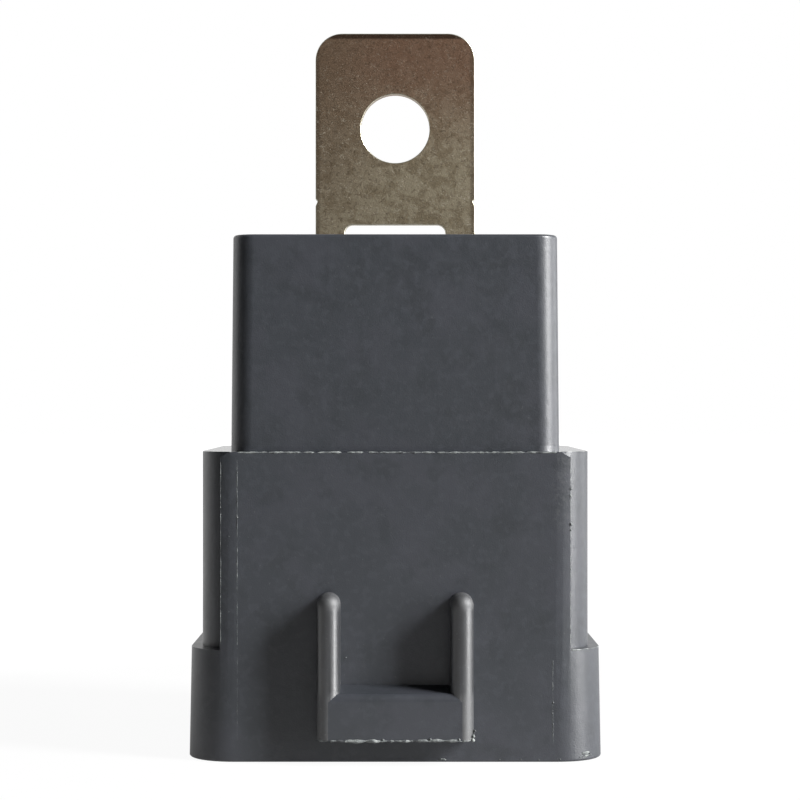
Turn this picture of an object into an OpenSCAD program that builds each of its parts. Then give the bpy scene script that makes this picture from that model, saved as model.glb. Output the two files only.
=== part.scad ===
// Plug-in automotive relay with a weatherproof skirt and a forked steel bolt tab.
// Millimetres. The origin is the centre of the plug socket's mouth, on the rim that it stands on.
// +X is to the right seen from the latch side, -Y faces the latch side and +Z points up to the bolt tab.

/* [Cover] */
// Width of the cover at its foot
cover_w = 28.1; // [27:0.1:29]
// Depth of the cover at its foot, from front to rear
cover_d = 28; // [27:0.1:28.4]
// Height of the cover above the skirt's shoulder
cover_h = 18.5; // [16:0.1:24]
// Draft of each cover wall, in degrees
cover_draft = 0.5; // [0:0.1:1.5]
// Radius of the cover's upright corners
cover_corner_r = 1.9; // [0.8:0.1:2.5]
// Radius round the cover's top edge
cover_edge_r = 0.3; // [0.2:0.05:0.8]
// Thickness of the cover's walls at their foot
cover_wall = 1.6; // [1.2:0.1:2]
// Thickness of the cover's roof
roof_t = 1.3; // [1:0.1:2]

/* [Skirt] */
// Width of the skirt above its flange
skirt_w = 33.2; // [32:0.1:34.4]
// Height of the shoulder above the rim
shoulder_z = 26.1; // [24:0.1:30]
// Distance of the front plate's face from the socket's centre line
front_reach = 15.5; // [15:0.1:16.5]
// Distance of the rear plate's face from the socket's centre line
rear_reach = 16.5; // [16:0.1:17.5]
// Width of the front and rear plates, which run flush with the flange
plate_w = 29.6; // [28:0.1:30.4]
// How far the plates stand proud of the skirt's corners
plate_step = 1.5; // [0.8:0.1:1.8]
// Width cut off each top corner of the plates
plate_nick_w = 0.8; // [0.3:0.1:2]
// Height cut off each top corner of the plates
plate_nick_h = 0.45; // [0.2:0.05:2]
// Radius of the skirt's upright corners
skirt_corner_r = 3.2; // [2.2:0.1:3.6]
// Thickness of the skirt's walls
skirt_wall = 1.8; // [1.4:0.1:2.2]
// Thickness of the shoulder
shoulder_t = 1.6; // [1.2:0.1:2.2]

/* [Flange] */
// Width of the flange at the rim
flange_w = 35.3; // [34.8:0.1:37]
// Height of the flange
flange_h = 9.4; // [8:0.1:12]
// Radius of the flange's upright corners
flange_corner_r = 4; // [3:0.1:5]
// Draft of the flange's walls, in degrees
flange_draft = 1; // [0:0.1:1.5]
// Radius round the rim's outer edge
rim_edge_r = 0.2; // [0.15:0.05:0.6]
// Thickness of the flange's wall at the widened mouth
mouth_wall = 1.7; // [1.4:0.1:2]
// Depth of the widened mouth that takes the plug's seal
mouth_depth = 7.4; // [5:0.1:8]

/* [Latch lock] */
// Overall width of the U-shaped lock
lock_w = 13.1; // [11:0.1:15]
// How far the lock stands out from the front plate
lock_reach = 3; // [2.2:0.1:4]
// Width of each upright rib
lock_rib_w = 1.95; // [1.4:0.05:2.4]
// Height of the ribs' tops above the rim
lock_top_z = 14.3; // [12:0.1:18]
// Height of the cross bar's underside above the rim
bar_z = 2.2; // [1:0.1:4]
// Height of the cross bar's front face
bar_h = 3.8; // [2.5:0.1:4.5]
// Rise of the cross bar's top from its front edge to the plate
bar_rise = 0.5; // [0:0.1:2]
// Radius along the cross bar's upper front edge
bar_edge_r = 0.7; // [0.2:0.1:1.5]

/* [Bolt tab] */
// Width of the steel tab
tab_w = 15.5; // [14:0.1:17]
// Thickness of the steel sheet
tab_t = 1.2; // [0.9:0.1:1.4]
// Height of the tab's top above the cover
tab_rise = 21.6; // [18:0.1:28]
// Radius of the tab's top corners
tab_corner_r = 2.6; // [0.5:0.05:4]
// Radius of the bolt hole
bolt_hole_r = 3.35; // [2.7:0.05:4.3]
// Height of the bolt hole's centre above the cover
bolt_rise = 12.35; // [10:0.1:14]
// Width of the gap between the fork's legs
fork_gap_w = 9.8; // [8:0.1:10.6]
// Height of the gap's top above the cover
fork_gap_rise = 3; // [2:0.1:5]
// Radius of the gap's top corners
fork_gap_r = 0.8; // [0.3:0.1:2]
// Depth of the shear nick in the tab's two edges
nick_depth = 0.2; // [0.05:0.05:0.4]
// Height of the shear nick above the cover
nick_rise = 5.3; // [4:0.1:7]
// How far each barb stands out from its leg
barb_reach = 0.15; // [0.05:0.05:0.2]

/* [Bracket pocket] */
// Height of the pocket above the shoulder
pocket_h = 13.8; // [9:0.1:15]
// Thickness of the pocket's side walls
pocket_side = 1.4; // [1:0.1:2.5]
// Thickness of the pocket's floor over the shoulder
pocket_floor = 0.8; // [0.4:0.1:2]
// Play between a leg's side and the pocket
pocket_side_gap = 0.22; // [0.22:0.01:0.4]
// Play between a leg's face and the pocket
pocket_face_gap = 0.04; // [0.02:0.01:0.1]

/* [Base and blades] */
// Depth of the socket from the rim to the base
socket_depth = 18; // [17:0.1:19.5]
// Thickness of the base plate
base_t = 2.5; // [2:0.1:3]
// Play between the base and the skirt
base_gap = 0.08; // [0.04:0.01:0.15]
// Width of the sealing groove round the base
seal_w = 1.1; // [0.8:0.1:1.6]
// Depth of the sealing groove
seal_h = 1; // [0.6:0.1:1.6]
// Width of a blade
blade_w = 6.3; // [5.6:0.1:6.6]
// Thickness of a blade
blade_t = 0.8; // [0.6:0.05:1]
// Length of a blade below the base
blade_l = 11.5; // [9:0.1:13]
// Radius of the hole near each blade's tip
blade_hole_r = 0.85; // [0.5:0.05:1.2]
// Height of that hole above the tip
blade_hole_rise = 3.6; // [3:0.1:5]
// Play between a blade and its slot in the base
slot_gap = 0.03; // [0.02:0.01:0.06]
// Spacing between the two coil blades
coil_pitch = 17; // [16:0.1:18]
// Distance of the make contact's blade in front of the centre
make_y = 9; // [8.4:0.1:9.6]
// Distance of the break contact's blade in front of the centre
break_y = 1; // [0.5:0.1:2]
// Distance of the common blade's middle behind the centre
common_y = 8.9; // [8.4:0.1:9.1]
// Width of the strip that rises to the break contact
nc_riser_w = 3.2; // [2.4:0.1:3.6]
// Width of the riser that carries the braid
common_riser_w = 2.6; // [2:0.1:3]
// Height of that riser above the yoke's foot
common_rise = 7; // [5:0.1:8]
// Room between the bobbin and the coil blades' tags
tag_gap = 1.6; // [1.2:0.1:2]
// Width of the coil blades' tags
tag_w = 1.4; // [1:0.1:2]
// Height of the coil blades' tags above the yoke's foot
tag_rise = 5; // [4:0.1:7]
// Width of the ribs that stop the base
stop_w = 1.4; // [1:0.1:2]
// How far those ribs stand in from the wall
stop_in = 1; // [0.6:0.1:1.2]

/* [Magnet] */
// Play between the works and the cover's inner walls
works_gap = 0.4; // [0.25:0.05:0.6]
// Thickness of the yoke
yoke_t = 1.8; // [1.4:0.1:2]
// How far the bobbin's flanges stand out past the yoke's edges
yoke_step = 0.3; // [0.1:0.05:0.8]
// Radius inside the yoke's bend
yoke_bend_r = 0.6; // [0.3:0.1:1]
// Height of the yoke's foot above the blades' strips
yoke_lift = 0.9; // [0.7:0.1:1.4]
// Core's radius as a share of the winding's outer radius
core_share = 0.49; // [0.4:0.01:0.55]
// How far the core's pole head stands out past its shank
pole_step = 1.5; // [0.8:0.1:1.7]
// How far the core's staked foot is set in from its shank
stake_step = 0.7; // [0.4:0.1:0.9]
// Thickness of the pole head
pole_t = 1.2; // [0.8:0.1:1.6]
// Room between the resistor and the bobbin
coil_gap = 0.95; // [0.4:0.05:1.4]
// Thickness of each bobbin flange
bobbin_flange_t = 1; // [0.7:0.1:1.4]
// Thickness of the bobbin's barrel
barrel_wall = 0.6; // [0.4:0.1:1]
// How far the bobbin's flanges stand out beyond the winding
winding_lip = 0.6; // [0.3:0.1:1]
// Spacing of the turns that show on the winding
turn_pitch = 0.5; // [0.3:0.05:0.8]
// Radius of the coil's lead wires
lead_r = 0.14; // [0.1:0.01:0.2]

/* [Armature and contacts] */
// Angle that the armature swings through, in degrees
swing = 3.2; // [2.4:0.1:3.6]
// Thickness of the armature
armature_t = 1.5; // [1.2:0.1:1.7]
// How far the yoke's edges stand out past the armature's
armature_step = 1.3; // [1.1:0.1:1.8]
// How far the armature reaches out over the pole head's front
armature_lip = 0.6; // [0.3:0.1:1]
// Thickness of the contact arm
arm_t = 0.3; // [0.2:0.05:0.4]
// Width of the contact arm at its contact
arm_tip_w = 4; // [3.4:0.1:5]
// Length over which the contact arm narrows in front of the armature
arm_neck_l = 1.6; // [0.8:0.1:2]
// How far the contact arm's side tag reaches out for the braid
arm_tag_l = 2.2; // [1.6:0.1:2.4]
// Width of the contact arm's side tag
arm_tag_w = 2; // [1.6:0.1:2.4]
// Radius of the contact arm's rivets
rivet_r = 0.6; // [0.4:0.05:0.7]
// Height of a rivet's head
rivet_head_h = 0.35; // [0.25:0.05:0.4]
// How far a rivet's head stands out past its shank
rivet_head_step = 0.35; // [0.2:0.05:0.45]
// Radius of the contact buttons
contact_r = 1.5; // [1.2:0.1:1.7]
// Height of a contact button
contact_h = 0.85; // [0.6:0.05:1]
// Gap left between pieces that meet at either end of the swing
touch_gap = 0.04; // [0.03:0.01:0.06]
// Radius over the return spring
spring_r = 0.85; // [0.7:0.05:0.9]
// Thickness of the return spring's wire
spring_wire = 0.32; // [0.25:0.01:0.4]
// Number of turns in the return spring
spring_turns = 9; // [6:1:12]
// Thickness of the copper braid
braid_t = 0.9; // [0.6:0.1:1.2]
// Radius of the resistor's body
resistor_r = 1.15; // [0.9:0.05:1.3]
// Length of the resistor's body
resistor_l = 6.4; // [5:0.1:8]
// How far the resistor's end caps stand out from its body
cap_rise = 0.1; // [0.05:0.05:0.2]
// Radius of the resistor's leads
resistor_lead_r = 0.25; // [0.15:0.05:0.35]
// Room between the make contact and the resistor's middle
resistor_gap = 0.5; // [0.3:0.05:0.8]

/* [Hidden] */
$fn = 64;
over = 1;          // how far a cutting tool runs past the face that it opens
rivet_gap = 0.02;  // play of a rivet's shank in its hole
hull_fn = 40;      // facets of the rounded mouldings' corners

// Outer shell
cover_top = shoulder_z + cover_h;
cover_inset = cover_h * tan(cover_draft);
flange_inset = flange_h * tan(flange_draft);
skirt_d = front_reach + rear_reach;
skirt_mid_y = (rear_reach - front_reach) / 2;
rib_x = (lock_w - lock_rib_w) / 2;
lock_r = lock_rib_w / 2;
lock_face = -front_reach - lock_reach;

// Chamber for the works: its walls stay upright inside the drafted cover
chamber_w = cover_w - 2 * cover_wall;
chamber_d = cover_d - 2 * cover_wall;
roof_z = cover_top - roof_t;
works_front = -chamber_d / 2 + works_gap;
works_rear = chamber_d / 2 - works_gap;
base_top = socket_depth + base_t;

// Bracket and its pocket
tab_y = cover_d / 2 + pocket_face_gap;
tab_top = cover_top + tab_rise;
leg_z = shoulder_z + pocket_floor + pocket_face_gap;
pocket_top = shoulder_z + pocket_h;
bolt_z = cover_top + bolt_rise;

// Magnet, from the rear wall forwards
spring_y = works_rear - spring_r;
yoke_rear = spring_y - spring_r - works_gap / 2;
yoke_front = yoke_rear - yoke_t;
yoke_z = base_top + blade_t + yoke_lift;
bobbin_z = yoke_z + yoke_t;

// Contacts, resistor and coil, from the front wall backwards
contact_y = works_front + blade_t + contact_r + works_gap / 2;
resistor_y = contact_y + contact_r + resistor_gap;
bobbin_w = yoke_front - yoke_bend_r - (resistor_y + resistor_r + cap_rise + coil_gap);
coil_y = yoke_front - yoke_bend_r - bobbin_w / 2;
winding_r = bobbin_w / 2 - winding_lip;
core_r = core_share * winding_r;
pole_r = core_r + pole_step;
yoke_w = bobbin_w - 2 * yoke_step;
armature_w = yoke_w - 2 * armature_step;
foot_front = coil_y - core_r - yoke_t;

// Contact stack, from the roof down
arm_l = yoke_rear - contact_y;
dome_r = 4 * contact_r;
shelf_top = roof_z - works_gap - blade_t / 2;
nc_face = shelf_top - blade_t - contact_h;
// height over the pivot that the moving contact's top dome reaches with the armature shut and open
dome_shut = armature_t + arm_t + contact_h;
dome_open = (dome_shut - dome_r) * cos(swing) + arm_l * sin(swing) + dome_r;
pivot_z = nc_face - touch_gap - dome_open;
nc_y = yoke_rear - arm_l * cos(swing) + (dome_shut - dome_r) * sin(swing);
pole_z = pivot_z - touch_gap;
coil_top = pole_z - pole_t;
no_face = pivot_z + armature_t - contact_h - touch_gap;
no_shelf = no_face - contact_h;
armature_front = coil_y - pole_r - armature_lip;
tail_end = works_rear;
tail_w = 4 * spring_r;
rivet_y = (coil_y + pole_r + yoke_front) / 2;
rivet_x = armature_w / 4;
spring_low = bobbin_z + 8 * spring_wire;
stake_r = core_r - stake_step;
stake_h = 0.3;         // height of the riveted-over end under the yoke
ear_gap = 0.15;        // play between the yoke's ears and the armature
lug_t = 1;             // thickness of the lug that holds the spring's foot
lug_top = spring_low - spring_wire;
spring_lug = 5 * spring_wire;

// Blade strips that lie on the base
strip_bend_r = 0.3;  // inner radius of the strips' bends
shelf_rim = 0.3;     // how far the make contact's shelf reaches past the arm and the button
strip_z = base_top + blade_t / 2;
nc_riser_x = arm_tip_w / 2 + 4 * works_gap + nc_riser_w / 2;
tag_y = -blade_w / 2 + tag_w / 2 + works_gap;
tag_top = bobbin_z + tag_rise;
tag_x = bobbin_w / 2 + tag_gap + blade_t / 2;
resistor_z = bobbin_z + resistor_r + works_gap;
common_riser_x = -yoke_w / 2 - common_riser_w + works_gap / 2;
common_top = bobbin_z + common_rise;
strip_top = base_top + blade_t;

// ---------- general shapes ----------

// Flat rectangle with round corners
module rounded_rect(w, d, r) {
    square([w - 2 * r, d], center = true);
    square([w, d - 2 * r], center = true);
    for (x = [-1, 1], y = [-1, 1]) translate([x * (w / 2 - r), y * (d / 2 - r)]) circle(r);
}

// Moulded block with drafted walls and a rounded edge round its top face
module moulded_block(w, d, h, r, inset, edge_r) {
    hull() {
        for (x = [-1, 1], y = [-1, 1]) {
            translate([x * (w / 2 - r), y * (d / 2 - r), 0]) cylinder(h = edge_r / 4, r = r, $fn = hull_fn);
            translate([x * (w / 2 - inset - r), y * (d / 2 - inset - r), h - edge_r])
                rotate_extrude($fn = hull_fn) intersection() {
                    translate([r - edge_r, 0]) circle(edge_r, $fn = 20);
                    square([r, edge_r]);
                }
        }
    }
}

// Extrudes a Y-Z outline along X, centred on the plane of symmetry
module along_x(w) { translate([-w / 2, 0, 0]) rotate([90, 0, 90]) linear_extrude(w) children(); }

// Extrudes an X-Z outline from y backwards by t
module along_y(y, t) { translate([0, y + t, 0]) rotate([90, 0, 0]) linear_extrude(t) children(); }

function unit(v) = v / norm(v);

// Arc of radius r that rounds the corner p1 between p0 and p2
function corner_arc(p0, p1, p2, r, n) =
    let (u = unit(p0 - p1), v = unit(p2 - p1), half = acos(u * v) / 2,
        c = p1 + unit(u + v) * r / sin(half),
        a = p1 + u * r / tan(half) - c, b = p1 + v * r / tan(half) - c,
        from = atan2(a[1], a[0]), turn = atan2(b[1], b[0]) - from,
        sweep = turn > 180 ? turn - 360 : turn < -180 ? turn + 360 : turn)
    [for (i = [0:n]) c + r * [cos(from + sweep * i / n), sin(from + sweep * i / n)]];

// A path of points with every inner corner rounded
function rounded_path(p, r, n = 6) = [p[0],
    for (i = [1:len(p) - 2]) each corner_arc(p[i - 1], p[i], p[i + 1], r, n), p[len(p) - 1]];

// Offset that keeps a strip of thickness t even round each point of its path
function mitre(p, i, t) =
    let (a = i > 0 ? unit(p[i] - p[i - 1]) : unit(p[1] - p[0]),
        b = i < len(p) - 1 ? unit(p[i + 1] - p[i]) : a,
        m = unit([-a[1] - b[1], a[0] + b[0]]))
    m * t / 2 / (m * [-a[1], a[0]]);

// Outline of a sheet strip bent along a path, with inner bend radius r
function strip(p, t, r) = let (q = rounded_path(p, r + t / 2))
    concat([for (i = [0:len(q) - 1]) q[i] + mitre(q, i, t)],
        [for (i = [len(q) - 1:-1:0]) q[i] - mitre(q, i, t)]);

// Round wire of radius r swept along a list of points
module wire(path, r, sides = 8) {
    n = len(path);
    tangents = [for (i = [0:n - 1]) unit(path[min(i + 1, n - 1)] - path[max(i - 1, 0)])];
    start = cross(tangents[0], abs(tangents[0][0]) < 0.9 ? [1, 0, 0] : [0, 1, 0]);
    side = [for (i = 0, s = unit(start); i < n; i = i + 1,
        s = i < n ? unit(s - (s * tangents[i]) * tangents[i]) : s) s];
    points = [for (i = [0:n - 1], k = [0:sides - 1])
        path[i] + r * (cos(360 * k / sides) * side[i] + sin(360 * k / sides) * cross(tangents[i], side[i]))];
    walls = [for (i = [0:n - 2], k = [0:sides - 1])
        [i * sides + k, (i + 1) * sides + k, (i + 1) * sides + (k + 1) % sides, i * sides + (k + 1) % sides]];
    polyhedron(points, concat(walls, [[for (k = [0:sides - 1]) k]],
        [[for (k = [sides - 1:-1:0]) (n - 1) * sides + k]]), convexity = 6);
}

// Button of a contact, with its domed face up
module button() {
    intersection() {
        cylinder(h = contact_h, r = contact_r);
        translate([0, 0, contact_h - dome_r]) sphere(dome_r, $fn = 128);
    }
}

// ---------- outer shell ----------

// Outline of the socket and of the base that closes it, shrunk by a gap on every side
module socket_outline(gap) {
    translate([0, skirt_mid_y]) {
        rounded_rect(skirt_w - 2 * skirt_wall - 2 * gap, skirt_d - 2 * plate_step - 2 * skirt_wall - 2 * gap,
            skirt_corner_r - skirt_wall);
        square([plate_w - 2 * skirt_wall - 2 * gap, skirt_d - 2 * skirt_wall - 2 * gap], center = true);
    }
}

// Front and rear plates, carried up from the flange's own outline
module plates() {
    intersection() {
        translate([0, skirt_mid_y, 0]) linear_extrude(shoulder_z)
            rounded_rect(flange_w - 2 * flange_inset, skirt_d, flange_corner_r);
        along_y(-front_reach - over, skirt_d + 2 * over) polygon([
            [-plate_w / 2, flange_h / 2], [plate_w / 2, flange_h / 2],
            [plate_w / 2, shoulder_z - plate_nick_h], [plate_w / 2 - plate_nick_w, shoulder_z],
            [plate_nick_w - plate_w / 2, shoulder_z], [-plate_w / 2, shoulder_z - plate_nick_h]]);
    }
}

// Upright rib of the lock, round in front and on top
module lock_rib(x) {
    nose_y = lock_face + lock_r;
    web = lock_reach - lock_r + skirt_wall / 2;
    translate([x, nose_y, bar_z]) cylinder(h = lock_top_z - lock_r - bar_z, r = lock_r);
    translate([x, nose_y, lock_top_z - lock_r]) sphere(lock_r);
    translate([x, nose_y, lock_top_z - lock_r]) rotate([-90, 0, 0]) cylinder(h = web, r = lock_r);
    translate([x - lock_r, nose_y, bar_z]) cube([lock_rib_w, web, lock_top_z - lock_r - bar_z]);
}

// U-shaped lock that the plug's catch snaps over: the ribs' round fronts run down both ends of the bar
module lock() {
    root = skirt_wall / 2 - front_reach;
    wall_z = bar_z + bar_h + bar_rise;
    lock_rib(-rib_x);
    lock_rib(rib_x);
    along_x(2 * rib_x) polygon(concat(
        [[lock_face, bar_z], [root, bar_z], [root, wall_z], [-front_reach, wall_z]],
        corner_arc([-front_reach, wall_z], [lock_face, bar_z + bar_h], [lock_face, bar_z], bar_edge_r, 6)));
}

// Pocket on the cover's rear wall for the fork's two legs, with a tongue that fills the fork
module pocket() {
    w = tab_w + 2 * pocket_side_gap + 2 * pocket_side;
    difference() {
        translate([-w / 2, cover_d / 2 - cover_inset - over / 2, shoulder_z - shoulder_t / 2])
            cube([w, rear_reach - cover_d / 2 + cover_inset + over / 2, pocket_h + shoulder_t / 2]);
        for (s = [-1, 1]) {
            translate([s * (tab_w + fork_gap_w) / 4, 0, 0])
                leg_slot((tab_w - fork_gap_w) / 2 + 2 * pocket_side_gap);
        }
    }
}

// One slot of the pocket, with a lead-in at its mouth
module leg_slot(w) {
    d = tab_t + 2 * pocket_face_gap;
    face = cover_d / 2 + d;
    lead = 2 * pocket_face_gap;
    translate([-w / 2, cover_d / 2, shoulder_z + pocket_floor]) cube([w, d, pocket_h]);
    along_x(w) polygon([[face - over, pocket_top + over], [face + lead + over, pocket_top + over],
        [face + lead, pocket_top], [face, pocket_top - lead], [face - over, pocket_top - lead]]);
}

// Ribs under the shoulder that the base is pushed up against
module base_stops() {
    h = shoulder_z - shoulder_t / 2 - base_top;
    for (s = [-1, 1], t = [-1, 1]) {
        translate([s * (skirt_w / 2 - skirt_wall), skirt_mid_y + t * skirt_d / 5, base_top + h / 2])
            cube([2 * stop_in, stop_w, h], center = true);
        translate([s * plate_w / 4, skirt_mid_y + t * (skirt_d / 2 - skirt_wall), base_top + h / 2])
            cube([stop_w, 2 * stop_in, h], center = true);
    }
}

// Cover, skirt, flange, lock and bracket pocket in one moulding
module housing() {
    color("#47494d") difference() {
        union() {
            difference() {
                union() {
                    translate([0, 0, shoulder_z - shoulder_t]) linear_extrude(shoulder_t + over / 2)
                        rounded_rect(cover_w, cover_d, cover_corner_r);
                    translate([0, 0, shoulder_z])
                        moulded_block(cover_w, cover_d, cover_h, cover_corner_r, cover_inset, cover_edge_r);
                    translate([0, skirt_mid_y, flange_h / 2]) linear_extrude(shoulder_z - flange_h / 2)
                        rounded_rect(skirt_w, skirt_d - 2 * plate_step, skirt_corner_r);
                    plates();
                    translate([0, skirt_mid_y, flange_h]) mirror([0, 0, 1])
                        moulded_block(flange_w - 2 * flange_inset, skirt_d, flange_h,
                            flange_corner_r, -flange_inset, rim_edge_r);
                }
                translate([0, 0, -over]) linear_extrude(shoulder_z - shoulder_t + over) socket_outline(0);
                translate([0, skirt_mid_y, -over]) linear_extrude(mouth_depth + over)
                    rounded_rect(flange_w - 2 * mouth_wall, skirt_d - 2 * mouth_wall, flange_corner_r - mouth_wall);
            }
            base_stops();
            pocket();
            lock();
        }
        translate([0, 0, base_top]) linear_extrude(roof_z - base_top)
            rounded_rect(chamber_w, chamber_d, cover_corner_r / 2);
    }
}

// ---------- steel bracket ----------

// Right-hand edge of the fork from its foot upwards, with the barb and the shear nick
fork_edge = let (outer = tab_w / 2, inner = fork_gap_w / 2, tip = (outer - inner) / 4,
        barb_z = leg_z + pocket_h / 3, barb_h = tab_t, nick_z = cover_top + nick_rise)
    [[inner, leg_z + tip], [inner + tip, leg_z], [outer - tip, leg_z], [outer, leg_z + tip],
        [outer, barb_z], [outer + barb_reach, barb_z + barb_h], [outer, barb_z + barb_h],
        [outer, nick_z - 2.5 * nick_depth], [outer - nick_depth, nick_z], [outer, nick_z + nick_depth],
        [outer, bolt_z]];

// Forked tab blanked from sheet steel, with its bolt hole
module bracket() {
    gap_top = cover_top + fork_gap_rise;
    n = len(fork_edge);
    color("#786b5a") along_y(tab_y, tab_t) difference() {
        union() {
            translate([0, (tab_top + bolt_z) / 2 - tab_corner_r])
                rounded_rect(tab_w, tab_top - bolt_z + 2 * tab_corner_r, tab_corner_r);
            polygon(concat(fork_edge, [for (i = [n - 1:-1:0]) [-fork_edge[i][0], fork_edge[i][1]]]));
        }
        translate([0, bolt_z]) circle(bolt_hole_r);
        translate([0, gap_top - tab_w]) rounded_rect(fork_gap_w, 2 * tab_w, fork_gap_r);
    }
}

// ---------- base and blades ----------

// Slots through the base, one for each blade
module blade_slots() {
    long = blade_w + 2 * slot_gap;
    short = blade_t + 2 * slot_gap;
    for (s = [-1, 1]) translate([s * coil_pitch / 2, 0]) square([short, long], center = true);
    translate([0, common_y]) square([short, long], center = true);
    translate([0, -make_y]) square([long, short], center = true);
    translate([0, -break_y]) square([long, short], center = true);
}

// Base plate with a sealing groove, slots for the blades and blocks that carry the yoke's foot
module base() {
    block = 2;
    color("#3a3c40") difference() {
        union() {
            translate([0, 0, socket_depth]) linear_extrude(base_t) socket_outline(base_gap + seal_w);
            translate([0, 0, socket_depth + seal_h]) linear_extrude(base_t - seal_h) socket_outline(base_gap);
            for (s = [-1, 1]) translate([s * (yoke_w / 2 - block / 2), coil_y, base_top - base_t / 2])
                translate([-block / 2, -block / 2, 0]) cube([block, 2 * block, yoke_z - base_top + base_t / 2]);
        }
        translate([0, 0, socket_depth - over]) linear_extrude(base_t + 2 * over) blade_slots();
    }
}

// Bead of epoxy in the groove round the base
module seal_bead() {
    color("#202124") translate([0, 0, socket_depth]) linear_extrude(seal_h) difference() {
        socket_outline(0);
        socket_outline(base_gap + seal_w);
    }
}

// Flat blade with a bevelled tip and a hole, from the strips' top down, across X
module blade() {
    tip = socket_depth - blade_l;
    side = blade_w / 6;
    corner = tip + 1.6 * side;
    bevel = blade_t / 3;
    bevel_top = tip + 4 * bevel;
    intersection() {
        along_y(-blade_t / 2, blade_t) difference() {
            polygon([[-blade_w / 2 + side, tip], [blade_w / 2 - side, tip], [blade_w / 2, corner],
                [blade_w / 2, strip_top], [-blade_w / 2, strip_top], [-blade_w / 2, corner]]);
            translate([0, tip + blade_hole_rise]) circle(blade_hole_r);
        }
        along_x(blade_w) polygon([
            [bevel - blade_t / 2, tip], [blade_t / 2 - bevel, tip], [blade_t / 2, bevel_top],
            [blade_t / 2, strip_top], [-blade_t / 2, strip_top], [-blade_t / 2, bevel_top]]);
    }
}

// Sheet strip lying on the base, drawn in plan
module base_strip() { translate([0, 0, base_top]) linear_extrude(blade_t) children(); }

// Coil blade: a tag beside the coil takes the coil's lead and the resistor
module coil_terminal(s) {
    color("#b9b5a6") {
        translate([s * coil_pitch / 2, 0, 0]) rotate([0, 0, 90]) blade();
        translate([s * (coil_pitch / 2 + tag_x) / 2, 0, strip_z])
            cube([abs(tag_x - coil_pitch / 2) + blade_t, blade_w, blade_t], center = true);
        translate([s * tag_x, 0, 0]) along_x(blade_t) polygon([
            [-blade_w / 2, base_top], [blade_w / 2, base_top],
            [blade_w / 2, strip_top + blade_t], [tag_y + tag_w / 2, bobbin_z + blade_t],
            [tag_y + tag_w / 2, tag_top], [tag_y - tag_w / 2, tag_top],
            [tag_y - tag_w / 2, strip_top + blade_t], [-blade_w / 2, strip_top + blade_t]]);
    }
}

module terminal_85() { coil_terminal(1); }
module terminal_86() { coil_terminal(-1); }

// Make contact's blade: cranked forwards on the base, up the front and over to the contact shelf
module terminal_87() {
    riser_y = works_front + blade_t / 2;
    color("#b08a4a") {
        translate([0, -make_y, 0]) blade();
        difference() {
            along_x(arm_tip_w + 2 * shelf_rim) polygon(strip([
                [-make_y + blade_t / 2, strip_z], [riser_y, strip_z], [riser_y, no_shelf - blade_t / 2],
                [contact_y + contact_r + shelf_rim, no_shelf - blade_t / 2]], blade_t, strip_bend_r));
            translate([0, contact_y, no_shelf - blade_t - over])
                cylinder(h = blade_t + 2 * over, r = rivet_r + rivet_gap);
        }
    }
}

// Break contact's blade: led round the make blade on the base, up the front and over the moving contact
module terminal_87a() {
    riser_y = works_front + blade_t / 2;
    lane_y = -break_y - 3 * blade_t;
    color("#b08a4a") {
        translate([0, -break_y, 0]) blade();
        base_strip() polygon([[-blade_w / 2, -break_y + blade_t / 2], [blade_w / 2, -break_y + blade_t / 2],
            [blade_w / 2, lane_y], [nc_riser_x + nc_riser_w / 2, lane_y],
            [nc_riser_x + nc_riser_w / 2, works_front + blade_t],
            [nc_riser_x - nc_riser_w / 2, works_front + blade_t],
            [nc_riser_x - nc_riser_w / 2, lane_y - nc_riser_w], [-blade_w / 2, lane_y - nc_riser_w]]);
        translate([nc_riser_x, 0, 0]) along_x(nc_riser_w) polygon(strip([
            [works_front + 2 * blade_t, strip_z], [riser_y, strip_z], [riser_y, shelf_top - blade_t / 2],
            [nc_y + contact_r, shelf_top - blade_t / 2]], blade_t, strip_bend_r));
        difference() {
            translate([0, 0, shelf_top - blade_t]) linear_extrude(blade_t) polygon([
                [-arm_tip_w / 2, nc_y - contact_r], [nc_riser_x, nc_y - contact_r],
                [nc_riser_x, nc_y + contact_r], [-arm_tip_w / 2, nc_y + contact_r]]);
            translate([0, nc_y, shelf_top - blade_t - over])
                cylinder(h = blade_t + 2 * over, r = rivet_r + rivet_gap);
        }
    }
}

// Common blade: led sideways behind the yoke to the riser that carries the braid
module terminal_30() {
    rear_y = works_rear - blade_t;
    color("#b08a4a") {
        translate([0, common_y, 0]) rotate([0, 0, 90]) blade();
        base_strip() polygon([[-blade_t / 2, common_y - blade_w / 2], [blade_t / 2, common_y - blade_w / 2],
            [blade_t / 2, works_rear], [common_riser_x - common_riser_w / 2, works_rear],
            [common_riser_x - common_riser_w / 2, rear_y - 2 * blade_t], [-blade_t / 2, rear_y - 2 * blade_t]]);
        along_y(rear_y, blade_t) polygon([[common_riser_x - common_riser_w / 2, base_top],
            [common_riser_x + common_riser_w / 2, base_top], [common_riser_x + common_riser_w / 2, common_top],
            [common_riser_x - common_riser_w / 2, common_top]]);
    }
}

// ---------- magnet ----------

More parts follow.
